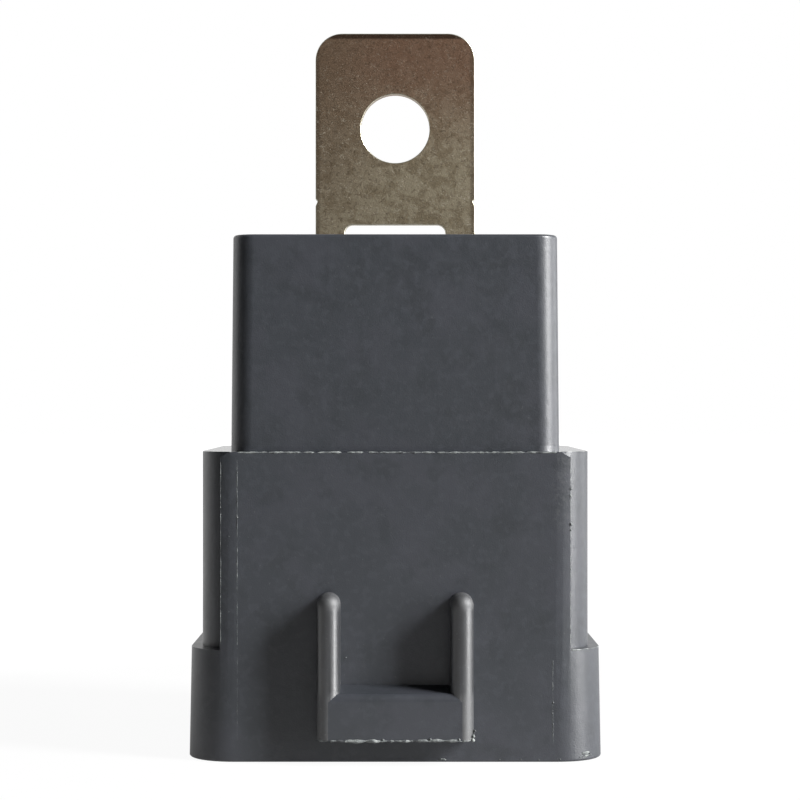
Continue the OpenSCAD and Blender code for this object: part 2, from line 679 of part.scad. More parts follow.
// L-shaped yoke: the core is riveted in its foot and the armature rocks on its top edge
module yoke() {
    leg_y = yoke_rear - yoke_t / 2;
    ear = yoke_w / 2 - armature_w / 2 - ear_gap;
    color("#8f9296") difference() {
        union() {
            along_x(yoke_w) polygon(strip([[foot_front, yoke_z + yoke_t / 2], [leg_y, yoke_z + yoke_t / 2],
                [leg_y, pole_z]], yoke_t, yoke_bend_r));
            for (s = [-1, 1]) translate([s * (yoke_w - ear) / 2 - ear / 2, yoke_front, pole_z - over])
                cube([ear, yoke_t, armature_t + over]);
            translate([-spring_lug / 2, yoke_front, lug_top - lug_t])
                cube([spring_lug, spring_y - yoke_front + spring_wire, lug_t]);
        }
        translate([0, coil_y, yoke_z - over]) cylinder(h = yoke_t + 2 * over, r = stake_r + rivet_gap);
        translate([-spring_wire, spring_y - spring_wire, lug_top - lug_t - over])
            cube([2 * spring_wire, 2 * over, lug_t + 2 * over]);
    }
}

// Soft-iron core with a pole head, its tenon riveted through the yoke's foot
module core() {
    color("#9da0a4") translate([0, coil_y, 0]) {
        translate([0, 0, yoke_z - stake_h]) cylinder(h = yoke_t + 2 * stake_h, r = stake_r);
        translate([0, 0, yoke_z - stake_h])
            cylinder(h = stake_h, r1 = stake_r - stake_h / 2, r2 = (stake_r + core_r) / 2);
        translate([0, 0, bobbin_z]) cylinder(h = coil_top + pole_t / 2 - bobbin_z, r = core_r);
        translate([0, 0, coil_top]) cylinder(h = pole_t, r = pole_r);
    }
}

// Bobbin with two square flanges
module bobbin() {
    color("#d8cfae") translate([0, coil_y, 0]) difference() {
        union() {
            translate([0, 0, bobbin_z]) linear_extrude(bobbin_flange_t) rounded_rect(bobbin_w, bobbin_w, 1);
            translate([0, 0, coil_top - bobbin_flange_t]) linear_extrude(bobbin_flange_t)
                rounded_rect(bobbin_w, bobbin_w, 1);
            translate([0, 0, bobbin_z]) cylinder(h = coil_top - bobbin_z, r = core_r + barrel_wall);
        }
        translate([0, 0, bobbin_z - over])
            cylinder(h = coil_top - bobbin_z + 2 * over, r = core_r + rivet_gap);
    }
}

// Copper winding, its outer layer showing turn by turn, with a lead wrapped round each coil tag
module winding() {
    low = bobbin_z + bobbin_flange_t;
    high = coil_top - bobbin_flange_t;
    turns = floor((high - low) / turn_pitch);
    pitch = (high - low) / turns;
    color("#b5622c") {
        translate([0, coil_y, 0]) rotate_extrude() polygon(concat(
            [[core_r + barrel_wall, high], [core_r + barrel_wall, low]],
            [for (i = [0:turns - 1], k = [0:3])
                [winding_r - pitch / 2 * (1 - sin(45 * k)), low + pitch * (i + k / 4)]],
            [[winding_r - pitch / 2, high]]));
        for (s = [-1, 1]) {
            tag = [s * tag_x, tag_y, tag_top - tag_w];
            wrap_r = norm([blade_t, tag_w]) / 2 + lead_r;
            out = [s * (winding_r - turn_pitch), coil_y, tag[2] - tag_w];
            for (i = [0:2]) translate(tag + [0, 0, 1.7 * lead_r * i]) rotate_extrude($fn = 32)
                translate([wrap_r, 0]) circle(lead_r, $fn = 16);
            wire([out, out + [s * 2 * turn_pitch, -turn_pitch, 0],
                tag + [-s * wrap_r, turn_pitch, -lead_r], tag + [-s * wrap_r, 0, 0]], lead_r);
        }
    }
}

// Resistor across the coil, its leads laid against the coil tags
module resistor() {
    cap = resistor_l / 8;
    lead_x = tag_x + blade_t / 2 + resistor_lead_r;
    color("#6f8fa6") translate([0, resistor_y, resistor_z]) {
        rotate([0, 90, 0]) {
            translate([0, 0, -resistor_l / 2]) cylinder(h = resistor_l, r = resistor_r);
            for (s = [-1, 1]) translate([0, 0, s * (resistor_l - cap) / 2 - cap / 2])
                cylinder(h = cap, r = resistor_r + cap_rise);
            translate([0, 0, -lead_x]) cylinder(h = 2 * lead_x, r = resistor_lead_r);
        }
        for (s = [-1, 1]) translate([s * lead_x, 0, 0]) {
            sphere(resistor_lead_r);
            rotate([-90, 0, 0]) cylinder(h = tag_y + tag_w / 2 - resistor_y, r = resistor_lead_r);
        }
    }
}

// ---------- moving pieces, drawn with the magnet shut and then let up by the swing ----------

module let_up() { translate([0, yoke_rear, pivot_z]) rotate([-swing, 0, 0]) children(); }

// Iron armature: rocks on the yoke's rear edge, its tail reaching back to the return spring
module armature() {
    color("#85888c") let_up() difference() {
        linear_extrude(armature_t) difference() {
            union() {
                translate([-armature_w / 2, armature_front - yoke_rear])
                    square([armature_w, yoke_rear - armature_front]);
                translate([-tail_w / 2, -over]) square([tail_w, tail_end - yoke_rear + over]);
            }
            translate([-spring_wire, spring_y - yoke_rear - spring_wire])
                square([2 * spring_wire, 3 * spring_r]);
        }
        for (s = [-1, 1]) translate([s * rivet_x, rivet_y - yoke_rear, -over])
            cylinder(h = armature_t + 2 * over, r = rivet_r + rivet_gap);
    }
}

// Bronze contact arm, wide on the armature and narrow at the contact, with a side tag for the braid
module contact_arm() {
    half = armature_w / 2;
    rear = rivet_y + 2.5 * rivet_r - yoke_rear;
    wide_end = armature_front - yoke_rear;
    tip_y = -arm_l - arm_tip_w / 2;
    nip = arm_tip_w / 6;
    color("#c08a4e") let_up() translate([0, 0, armature_t]) difference() {
        linear_extrude(arm_t) polygon([
            [-half - arm_tag_l, rear], [-half - arm_tag_l, rear - arm_tag_w], [-half, rear - arm_tag_w],
            [-half, wide_end], [-arm_tip_w / 2, wide_end - arm_neck_l],
            [-arm_tip_w / 2, tip_y + nip], [-arm_tip_w / 2 + nip, tip_y],
            [arm_tip_w / 2 - nip, tip_y], [arm_tip_w / 2, tip_y + nip],
            [arm_tip_w / 2, wide_end - arm_neck_l], [half, wide_end], [half, rear]]);
        translate([0, -arm_l, -over]) cylinder(h = arm_t + 2 * over, r = rivet_r + rivet_gap);
        for (s = [-1, 1]) translate([s * rivet_x, rivet_y - yoke_rear, -over])
            cylinder(h = arm_t + 2 * over, r = rivet_r + rivet_gap);
    }
}

// Two rivets that hold the contact arm down on the armature
module arm_rivets() {
    head_r = rivet_r + rivet_head_step;
    crown_r = rivet_r + rivet_head_step / 2;
    stack = armature_t + arm_t;
    color("#a9a79c") let_up() for (s = [-1, 1]) translate([s * rivet_x, rivet_y - yoke_rear, 0]) {
        translate([0, 0, -rivet_head_h]) cylinder(h = stack + 2 * rivet_head_h, r = rivet_r);
        translate([0, 0, -rivet_head_h]) cylinder(h = rivet_head_h, r1 = crown_r, r2 = head_r);
        translate([0, 0, stack]) cylinder(h = rivet_head_h, r1 = head_r, r2 = crown_r);
    }
}

// Double-faced silver contact riveted through the arm's end
module moving_contact() {
    color("#d9d7cf") let_up() translate([0, -arm_l, armature_t]) {
        translate([0, 0, -contact_h / 2]) cylinder(h = arm_t + contact_h, r = rivet_r);
        translate([0, 0, arm_t]) button();
        mirror([0, 0, 1]) button();
    }
}

// Fixed contact with its shank in the make shelf
module contact_no() {
    color("#d9d7cf") translate([0, contact_y, no_shelf]) {
        button();
        translate([0, 0, -blade_t]) cylinder(h = blade_t + contact_h / 2, r = rivet_r);
    }
}

// Fixed contact with its shank in the break shelf, facing down
module contact_nc() {
    color("#d9d7cf") translate([0, nc_y, shelf_top - blade_t]) {
        mirror([0, 0, 1]) button();
        translate([0, 0, -contact_h / 2]) cylinder(h = blade_t + contact_h / 2, r = rivet_r);
    }
}

// Return spring: a drawn helix between the yoke's lug and the armature's tail, hooked over both
module return_spring() {
    r = spring_wire / 2;
    steps = 10;
    tail_top = pivot_z + (armature_t + touch_gap) * cos(swing)
        - (spring_y - yoke_rear) * sin(swing) + r + touch_gap;
    lug_low = lug_top - lug_t - r - touch_gap;
    bend = 0.25;
    tail = 0.8;
    low = spring_low + tail;
    high = pivot_z - 2 * tail;
    coil = spring_r - r;
    helix = [for (i = [0:spring_turns * steps]) let (a = 360 * i / steps)
        [coil * cos(a), spring_y + coil * sin(a), low + (high - low) * i / (spring_turns * steps)]];
    foot = [[0, spring_y - tail, lug_low], [0, spring_y - bend, lug_low], [0, spring_y, lug_low + bend],
        [0, spring_y, spring_low], [bend, spring_y, low - tail / 2]];
    hook = [[bend, spring_y, high + tail / 2], [0, spring_y, high + tail], [0, spring_y, tail_top - bend],
        [0, spring_y - bend, tail_top], [0, spring_y - tail, tail_top]];
    color("#b4b6b8") wire(concat(foot, helix, hook), r);
}

// Copper braid from the common riser up to the contact arm's side tag
module braid() {
    r = braid_t / 2;
    start = [common_riser_x, works_rear - blade_t - r, common_top - common_riser_w];
    end_y = rivet_y + 2.5 * rivet_r - arm_tag_w / 2;
    tag = [-armature_w / 2 - arm_tag_l / 2, end_y,
        pivot_z + armature_t - (end_y - yoke_rear) * sin(swing) - touch_gap];
    lift = tag[2] - start[2];
    bow = [-1.5 * braid_t, 0, 0];
    color("#a5582a") wire([for (i = [0:12]) let (t = i / 12)
        pow(1 - t, 3) * start + 3 * t * pow(1 - t, 2) * (start + [0, 0, lift / 2] + bow)
        + 3 * t * t * (1 - t) * (tag - [0, 0, lift / 2]) + pow(t, 3) * tag], r);
}

housing();
bracket();
base();
seal_bead();
terminal_30();
terminal_85();
terminal_86();
terminal_87();
terminal_87a();
yoke();
core();
bobbin();
winding();
resistor();
armature();
contact_arm();
arm_rivets();
moving_contact();
contact_no();
contact_nc();
return_spring();
braid();
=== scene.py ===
"""Sealed plug-in automotive relay with a forked steel bolt tab, dressed around its solids."""
import math

import bmesh
import bpy
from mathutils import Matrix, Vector, noise


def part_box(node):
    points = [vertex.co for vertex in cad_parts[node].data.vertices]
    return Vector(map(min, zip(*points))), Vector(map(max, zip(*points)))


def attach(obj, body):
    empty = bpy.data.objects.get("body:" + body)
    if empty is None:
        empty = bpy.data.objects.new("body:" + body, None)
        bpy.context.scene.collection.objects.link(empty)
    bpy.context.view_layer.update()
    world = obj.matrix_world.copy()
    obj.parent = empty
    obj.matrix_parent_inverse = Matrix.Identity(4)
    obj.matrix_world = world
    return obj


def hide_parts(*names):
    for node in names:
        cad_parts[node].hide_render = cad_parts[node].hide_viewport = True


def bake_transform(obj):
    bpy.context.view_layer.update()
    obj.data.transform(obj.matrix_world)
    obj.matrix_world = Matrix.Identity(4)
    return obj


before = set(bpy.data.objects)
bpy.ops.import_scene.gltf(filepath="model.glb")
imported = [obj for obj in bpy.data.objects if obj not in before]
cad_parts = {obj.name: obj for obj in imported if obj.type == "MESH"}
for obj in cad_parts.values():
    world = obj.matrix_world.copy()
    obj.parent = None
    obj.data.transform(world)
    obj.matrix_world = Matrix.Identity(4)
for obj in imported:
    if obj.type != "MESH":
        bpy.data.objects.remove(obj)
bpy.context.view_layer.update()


# ---------------------------------------------------------------- the studio
# The relay stands on its rim on a white table in front of a white backdrop. A softbox high at the
# right front is the key, lower ones on the right rake the corners, and a white card on the left
# opens the shadows.
MM = 0.001
scene = bpy.context.scene
scene.view_settings.view_transform = "Standard"

EYE_HEIGHT = 30.15 * MM
EYE_DISTANCE = 190.0 * MM
PLATE_Y = -15.5
lens = bpy.data.cameras.new("camera")
lens.sensor_width = 36.0
lens.lens = 101.5
lens.shift_x = 0.006
lens.shift_y = 0.005
lens.clip_start = 0.01
camera = bpy.data.objects.new("camera", lens)
camera.location = (0, PLATE_Y * MM - EYE_DISTANCE, EYE_HEIGHT)
camera.rotation_euler = (math.radians(90), 0, 0)
scene.collection.objects.link(camera)
scene.camera = camera

# Each lamp is aimed at the relay's middle. Its level is the light it drops on a face square to it.
for name, azimuth, elevation, distance, width, height, level in (
        ("key_softbox", 65, 31, 0.9, 0.22, 0.28, 1.84),
        ("low_strip", 64, 8, 0.9, 0.24, 0.34, 0.58),
        ("right_softbox", 82, 5, 0.9, 0.26, 0.26, 0.16),
        ("rear_softbox", 112, 6, 0.6, 0.26, 0.30, 0.27),
        ("left_card", -112, 20, 0.6, 0.40, 0.40, 0.13)):
    data = bpy.data.lights.new(name, "AREA")
    data.shape = "RECTANGLE"
    data.size, data.size_y = width, height
    data.energy = level * math.pi * math.pi * distance ** 2
    lamp = bpy.data.objects.new(name, data)
    az, el = math.radians(azimuth), math.radians(elevation)
    aim = Vector((math.sin(az) * math.cos(el), -math.cos(az) * math.cos(el), math.sin(el)))
    lamp.location = Vector((0, 0, EYE_HEIGHT)) + aim * distance
    lamp.rotation_euler = aim.to_track_quat("Z", "Y").to_euler()
    scene.collection.objects.link(lamp)


def wire_up(tree, kind, sockets=None, **settings):
    """New node with its settings; its inputs are numbers, or the outputs that they hang on."""
    node = tree.nodes.new(kind)
    for key, value in settings.items():
        setattr(node, key, value)
    for key, value in (sockets or {}).items():
        if isinstance(value, bpy.types.NodeSocket):
            tree.links.new(value, node.inputs[key])
        else:
            node.inputs[key].default_value = value
    return node


def backdrop_share(tree, along_y, near, far, dim_share):
    """1 where the backdrop shows white: to the camera, through glass, and in mirror images of the
    room behind the relay; the half of the room before it stays dim in mirror images."""
    rays = wire_up(tree, "ShaderNodeLightPath")
    ramp = wire_up(tree, "ShaderNodeMapRange", {
        "Value": along_y, "From Min": near, "From Max": far, "To Min": dim_share, "To Max": 1.0})
    mirror = wire_up(tree, "ShaderNodeMath", {
        0: ramp.outputs[0], 1: rays.outputs["Is Glossy Ray"]}, operation="MULTIPLY")
    straight = wire_up(tree, "ShaderNodeMath", {
        0: rays.outputs["Is Camera Ray"], 1: rays.outputs["Is Transmission Ray"]},
        operation="MAXIMUM")
    return wire_up(tree, "ShaderNodeMath", {
        0: mirror.outputs[0], 1: straight.outputs[0]}, operation="MAXIMUM").outputs[0]


room = bpy.data.worlds.new("room")
scene.world = room
room.use_nodes = True
air = room.node_tree
air.nodes.clear()
heading = wire_up(air, "ShaderNodeTexCoord")
heading_split = wire_up(air, "ShaderNodeSeparateXYZ", {0: heading.outputs["Generated"]})
air_share = backdrop_share(air, heading_split.outputs["Y"], near=0.3, far=1.0, dim_share=0.02)
dim_air = wire_up(air, "ShaderNodeBackground", {"Color": (0.93, 0.96, 1.0, 1), "Strength": 0.02})
white_air = wire_up(air, "ShaderNodeBackground", {"Color": (1, 1, 1, 1), "Strength": 1.0})
air_mix = wire_up(air, "ShaderNodeMixShader", {
    0: air_share, 1: dim_air.outputs[0], 2: white_air.outputs[0]})
wire_up(air, "ShaderNodeOutputWorld", {"Surface": air_mix.outputs[0]})

TABLE_REACH = 2.0
TABLE_DROP = 0.02 * MM
table_top = bpy.data.meshes.new("table")
table_top.from_pydata([(x * TABLE_REACH, y * TABLE_REACH, -TABLE_DROP)
                       for x, y in ((-1, -1), (1, -1), (1, 1), (-1, 1))], [], [(0, 1, 2, 3)])
table = bpy.data.objects.new("table", table_top)
scene.collection.objects.link(table)
table_white = bpy.data.materials.new("table_white")
table_white.use_nodes = True
surface = table_white.node_tree
surface.nodes.clear()
spot = wire_up(surface, "ShaderNodeTexCoord")
spot_split = wire_up(surface, "ShaderNodeSeparateXYZ", {0: spot.outputs["Object"]})
table_share = backdrop_share(surface, spot_split.outputs["Y"], near=-0.1, far=0.1, dim_share=0.0)
# Close to the relay the table gives up a little of its own white, so that a shadow shows on it.
reach = wire_up(surface, "ShaderNodeVectorMath", {0: spot.outputs["Object"]}, operation="LENGTH")
bleach = wire_up(surface, "ShaderNodeMapRange", {
    "Value": reach.outputs["Value"], "From Min": 0.06, "From Max": 0.18,
    "To Min": 0.84, "To Max": 1.0})
keeps_shadow = wire_up(surface, "ShaderNodeMath", {
    0: table_share, 1: bleach.outputs[0]}, operation="MULTIPLY")
matt_top = wire_up(surface, "ShaderNodeBsdfDiffuse", {"Color": (0.30, 0.30, 0.30, 1)})
white_top = wire_up(surface, "ShaderNodeEmission", {"Color": (1, 1, 1, 1), "Strength": 1.13})
top_mix = wire_up(surface, "ShaderNodeMixShader", {
    0: keeps_shadow.outputs[0], 1: matt_top.outputs[0], 2: white_top.outputs[0]})
wire_up(surface, "ShaderNodeOutputMaterial", {"Surface": top_mix.outputs[0]})
table_top.materials.append(table_white)


# ---------------------------------------------------------------- the base plate
# Moulded from black glass-filled nylon. It closes the socket's roof, carries the five blades in
# snug slots, and is pushed up against the stops inside the housing.
def tint(r, g, b):
    """Linear colour of an 8-bit paint-chart value."""
    return tuple(((c / 255 + 0.055) / 1.055) ** 2.4 for c in (r, g, b)) + (1.0,)


# Sockets of the Mix node, which has a pair for colours and another for plain numbers.
COLOUR_BELOW, COLOUR_ABOVE, COLOUR_OUT = 6, 7, 2
NUMBER_BELOW, NUMBER_ABOVE = 2, 3


class Finish:
    """A material in the making: one shader, with colours and relief laid over it by texture."""

    def __init__(self, name, colour, rough, metal=0.0, specular=0.5, ior=1.5):
        self.mat = bpy.data.materials.new(name)
        self.mat.use_nodes = True
        self.tree = self.mat.node_tree
        self.shader = self.tree.nodes["Principled BSDF"]
        self.shader.inputs["Base Color"].default_value = colour
        self.shader.inputs["Roughness"].default_value = rough
        self.shader.inputs["Metallic"].default_value = metal
        self.shader.inputs["Specular IOR Level"].default_value = specular
        self.shader.inputs["IOR"].default_value = ior
        self.colour = colour
        self.normal = None
        self.place = wire_up(self.tree, "ShaderNodeTexCoord").outputs["Object"]

    def grain(self, size, detail=3.0, stretch=(1, 1, 1), warp=0.0):
        """Mottle, 0 to 1, whose patches are about size millimetres across."""
        turn = wire_up(self.tree, "ShaderNodeMapping", {"Vector": self.place, "Scale": stretch})
        return wire_up(self.tree, "ShaderNodeTexNoise", {
            "Vector": turn.outputs[0], "Scale": 1 / (size * MM), "Detail": detail,
            "Roughness": 0.55, "Distortion": warp}).outputs["Fac"]

    def band(self, value, low, high):
        """0 below low and 1 above high, smooth between."""
        return wire_up(self.tree, "ShaderNodeMapRange", {
            "Value": value, "From Min": low, "From Max": high},
            interpolation_type="SMOOTHSTEP").outputs[0]

    def along(self, axis, start, end):
        """0 at start and 1 at end, in millimetres along an axis of the relay."""
        split = wire_up(self.tree, "ShaderNodeSeparateXYZ", {0: self.place})
        return self.band(split.outputs[axis], start * MM, end * MM)

    def times(self, *factors):
        """Product of masks and plain numbers."""
        product = factors[0]
        for factor in factors[1:]:
            product = wire_up(self.tree, "ShaderNodeMath", {0: product, 1: factor},
                              operation="MULTIPLY").outputs[0]
        return product

    def over(self, colour, amount):
        """Lays a colour over what is there, where amount is high."""
        mix = wire_up(self.tree, "ShaderNodeMix", {
            0: amount, COLOUR_BELOW: self.colour, COLOUR_ABOVE: colour}, data_type="RGBA")
        self.colour = mix.outputs[COLOUR_OUT]
        self.tree.links.new(self.colour, self.shader.inputs["Base Color"])

    def patches(self, colour, size, low, high, strength=1.0, **kind):
        """Lays a colour over in patches: none where the grain is below low, full above high."""
        mask = self.band(self.grain(size, **kind), low, high)
        self.over(colour, mask if strength == 1.0 else self.times(mask, strength))

    def relief(self, value, depth):
        """Adds fine height, in millimetres."""
        bump = wire_up(self.tree, "ShaderNodeBump", {
            "Height": value, "Distance": depth * MM, "Strength": 1.0})
        if self.normal is not None:
            self.tree.links.new(self.normal, bump.inputs["Normal"])
        self.normal = bump.outputs[0]
        self.tree.links.new(self.normal, self.shader.inputs["Normal"])

    def shine(self, value, rough_low, rough_high):
        """Varies the roughness with value."""
        ramp = wire_up(self.tree, "ShaderNodeMapRange", {
            "Value": value, "To Min": rough_low, "To Max": rough_high})
        self.tree.links.new(ramp.outputs[0], self.shader.inputs["Roughness"])

    def polish(self, amount, rough):
        """Gives another roughness where amount is high."""
        now = self.shader.inputs["Roughness"].links[0].from_socket
        mix = wire_up(self.tree, "ShaderNodeMix", {
            0: amount, NUMBER_BELOW: now, NUMBER_ABOVE: rough}, data_type="FLOAT")
        self.tree.links.new(mix.outputs[0], self.shader.inputs["Roughness"])


SAME_POINT = 0.002 * MM
SAME_FLAT = math.radians(0.6)
SHARP_EDGE = math.radians(25)


def rounded_copy(node, name, body, faces, edges, edge_r, steps=2):
    """Copy of a solid, its flats joined up and its sharp edges rounded by edge_r millimetres."""
    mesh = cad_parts[node].data.copy()
    piece = bpy.data.objects.new(name, mesh)
    scene.collection.objects.link(piece)
    bm = bmesh.new()
    bm.from_mesh(mesh)
    bmesh.ops.remove_doubles(bm, verts=bm.verts, dist=SAME_POINT)
    bmesh.ops.dissolve_limit(bm, angle_limit=SAME_FLAT, verts=bm.verts, edges=bm.edges,
                             use_dissolve_boundaries=False)
    bm.to_mesh(mesh)
    bm.free()
    if "custom_normal" in mesh.attributes:
        mesh.attributes.remove(mesh.attributes["custom_normal"])
    mesh.materials.clear()
    mesh.materials.append(faces.mat)
    mesh.materials.append(edges.mat)
    for polygon in mesh.polygons:
        polygon.use_smooth = True
        polygon.material_index = 0
    rounds = piece.modifiers.new("edge rounds", "BEVEL")
    rounds.width = edge_r * MM
    rounds.segments = steps
    rounds.limit_method = "ANGLE"
    rounds.angle_limit = SHARP_EDGE
    rounds.miter_outer = "MITER_ARC"
    rounds.material = 1
    flats = piece.modifiers.new("flat faces", "WEIGHTED_NORMAL")
    flats.mode = "FACE_AREA_WITH_ANGLE"
    flats.weight = 90
    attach(piece, body)
    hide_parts(node)
    return piece


base_nylon = Finish("base_nylon", tint(50, 50, 52), 0.5)
base_nylon.patches(tint(58, 58, 60), 3, 0.45, 0.6)
base_nylon.patches(tint(84, 84, 84), 0.3, 0.66, 0.74, 0.5)
base_nylon.relief(base_nylon.grain(0.15), 0.010)
base_nylon.shine(base_nylon.grain(1.4), 0.42, 0.6)
rounded_copy("base", "base_plate", "relay", base_nylon, base_nylon, 0.12)


# ---------------------------------------------------------------- the five blades
# Stamped from brass strip and tinned. Each is pressed up through its slot in the base and cranked
# over inside; the tips are coined to a bevel so that they find their way into the plug.
tinned = Finish("tinned_brass", tint(206, 202, 188), 0.3, metal=1.0)
tinned.patches(tint(178, 172, 152), 2.5, 0.42, 0.66, stretch=(1, 1, 0.4))
tinned.patches(tint(132, 124, 104), 0.5, 0.62, 0.75, 0.6)
tinned.relief(tinned.grain(0.12, stretch=(1, 1, 0.12)), 0.004)
tinned.shine(tinned.grain(1.1), 0.22, 0.42)
sheared = Finish("sheared_brass_edge", tint(198, 178, 128), 0.4, metal=1.0)
sheared.patches(tint(214, 208, 192), 0.6, 0.45, 0.6)
sheared.relief(sheared.grain(0.1, stretch=(1, 1, 3)), 0.006)
for number in ("30", "85", "86", "87", "87a"):
    rounded_copy("terminal_" + number, "blade_" + number, "relay",
                 tinned, sheared, 0.06)


# ---------------------------------------------------------------- the magnet
# A soft-iron yoke and core, both zinc plated, with the coil wound on a natural nylon bobbin. The
# core's foot is riveted over under the yoke, and a resistor across the coil quenches its spark.
def dress(node, finish):
    """Puts a finish on a solid whose shape is right as it stands."""
    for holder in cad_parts[node].material_slots:
        holder.material = finish.mat


zinc = Finish("zinc_plated_iron", tint(176, 178, 180), 0.34, metal=1.0)
zinc.patches(tint(150, 154, 160), 1.8, 0.42, 0.64)
zinc.patches(tint(120, 118, 108), 0.35, 0.64, 0.76, 0.6)
zinc.relief(zinc.grain(0.14), 0.005)
zinc.shine(zinc.grain(0.9), 0.26, 0.46)
rounded_copy("yoke", "magnet_yoke", "relay", zinc, zinc, 0.1)
dress("core", zinc)

bobbin_nylon = Finish("natural_nylon", tint(206, 198, 172), 0.42)
bobbin_nylon.patches(tint(192, 180, 148), 2.2, 0.45, 0.65)
bobbin_nylon.relief(bobbin_nylon.grain(0.2), 0.006)
dress("bobbin", bobbin_nylon)

enamel = Finish("enamelled_copper", tint(176, 92, 44), 0.24, metal=1.0)
enamel.patches(tint(146, 66, 30), 0.9, 0.42, 0.62, stretch=(1, 1, 4))
enamel.relief(enamel.grain(0.2, stretch=(0.2, 0.2, 1)), 0.01)
enamel.shine(enamel.grain(0.6), 0.18, 0.34)
dress("winding", enamel)

LACQUER_END, BARE_WIRE = 2.7, 3.2
lacquer = Finish("resistor_lacquer", tint(112, 146, 168), 0.3)
lacquer.patches(tint(96, 130, 154), 0.8, 0.45, 0.65)
for side in (-1, 1):
    lacquer.over(tint(186, 186, 180), lacquer.along("X", side * LACQUER_END, side * BARE_WIRE))
lacquer.relief(lacquer.grain(0.3), 0.01)
dress("resistor", lacquer)


# ---------------------------------------------------------------- the armature and its contacts
# The iron armature rocks on the yoke's rear edge. Two rivets hold a bronze arm on it, which carries
# the silver moving contact between the two fixed ones; a wire spring and a copper braid finish it.
rounded_copy("armature", "armature_plate", "armature_set", zinc, zinc, 0.08)

bronze = Finish("spring_bronze", tint(198, 146, 86), 0.3, metal=1.0)
bronze.patches(tint(176, 122, 66), 1.6, 0.42, 0.62, stretch=(1, 0.3, 1))
bronze.relief(bronze.grain(0.12, stretch=(1, 0.15, 1)), 0.004)
bronze.shine(bronze.grain(0.8), 0.24, 0.4)
dress("contact_arm", bronze)
dress("arm_rivets", zinc)

silver = Finish("contact_silver", tint(222, 220, 212), 0.28, metal=1.0)
silver.patches(tint(168, 160, 146), 0.5, 0.5, 0.68, 0.7)
silver.relief(silver.grain(0.15), 0.006)
silver.shine(silver.grain(0.4), 0.2, 0.45)
for button in ("moving_contact", "contact_no", "contact_nc"):
    dress(button, silver)


def flexing_copy(node, name, finish):
    """Copy of a springy solid, standing where the solid stands."""
    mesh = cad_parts[node].data.copy()
    mesh.materials.clear()
    mesh.materials.append(finish.mat)
    piece = bpy.data.objects.new(name, mesh)
    scene.collection.objects.link(piece)
    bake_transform(piece)
    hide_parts(node)


spring_wire = Finish("drawn_spring_wire", tint(168, 168, 166), 0.28, metal=1.0)
spring_wire.patches(tint(132, 130, 126), 0.4, 0.45, 0.65)
spring_wire.relief(spring_wire.grain(0.08), 0.003)
flexing_copy("return_spring", "coiled_return_spring", spring_wire)

braided = Finish("braided_copper", tint(186, 104, 58), 0.4, metal=1.0)
plait = wire_up(braided.tree, "ShaderNodeTexWave", {
    "Vector": braided.place, "Scale": 900.0, "Distortion": 2.0, "Detail": 1.0},
    bands_direction="DIAGONAL")
braided.over(tint(120, 60, 30), braided.band(plait.outputs["Fac"], 0.55, 0.95))
braided.relief(plait.outputs["Fac"], 0.05)
flexing_copy("braid", "copper_braid", braided)


# ---------------------------------------------------------------- the potting bead
# Black epoxy run into the groove round the base. It creeps up the walls as it cures, which seals
# the works against spray and holds the base in.
epoxy = Finish("black_epoxy", tint(34, 33, 33), 0.16)
epoxy.patches(tint(46, 44, 42), 2.0, 0.45, 0.7, warp=0.6)
epoxy.relief(epoxy.grain(1.2, warp=0.8), 0.05)
epoxy.shine(epoxy.grain(0.8), 0.1, 0.28)
rounded_copy("seal_bead", "potting_bead", "relay", epoxy, epoxy, 0.15)


# ---------------------------------------------------------------- the housing
# One moulding in dark grey glass-filled nylon: a drafted cover over the works, a stepped skirt
# round the plug socket, a flange at the rim and the lock for the plug's catch. It comes out of the
# mould with small rounds and a fine matt grain; handling rubs the ribs, the ledges and a corner.
SHOULDER_Z, RIB_TOP, BAR_TOP = 26.1, 14.3, 6.0
RIB_ROOT_Y, RIB_INSIDE = -15.75, 4.6
moulded = Finish("moulded_nylon", tint(54, 57, 62), 0.39, specular=0.9)
moulded.patches(tint(59, 61, 67), 6, 0.42, 0.62)
moulded.patches(tint(48, 51, 55), 2.6, 0.5, 0.68, 0.7)
moulded.patches(tint(63, 66, 72), 0.7, 0.5, 0.64, 0.6, detail=4)
moulded.patches(tint(86, 88, 90), 0.26, 0.70, 0.76, 0.5, detail=2)
moulded.relief(moulded.grain(0.12, 4), 0.012)
moulded.relief(moulded.grain(1.1), 0.020)
moulded.shine(moulded.grain(1.6), 0.34, 0.43)
plate_corner = moulded.times(moulded.along("X", 13.0, 13.8), moulded.along("Z", 18.0, 21.0),
                             moulded.along("Y", -14.2, -15.2))
scuffs = moulded.band(moulded.grain(0.3, 4, warp=0.8), 0.48, 0.66)
moulded.over(tint(92, 93, 94), moulded.times(plate_corner, scuffs, 0.35))
ledge = moulded.times(moulded.along("Z", SHOULDER_Z - 0.08, SHOULDER_Z - 0.04),
                      moulded.along("Z", SHOULDER_Z + 0.06, SHOULDER_Z + 0.02))
moulded.polish(ledge, 0.16)

moulded_edge = Finish("moulded_nylon_edge", tint(54, 57, 62), 0.36, specular=0.9)
moulded_edge.patches(tint(112, 113, 112), 0.35, 0.6, 0.7, 0.5)
moulded_edge.relief(moulded_edge.grain(0.15, 4), 0.012)
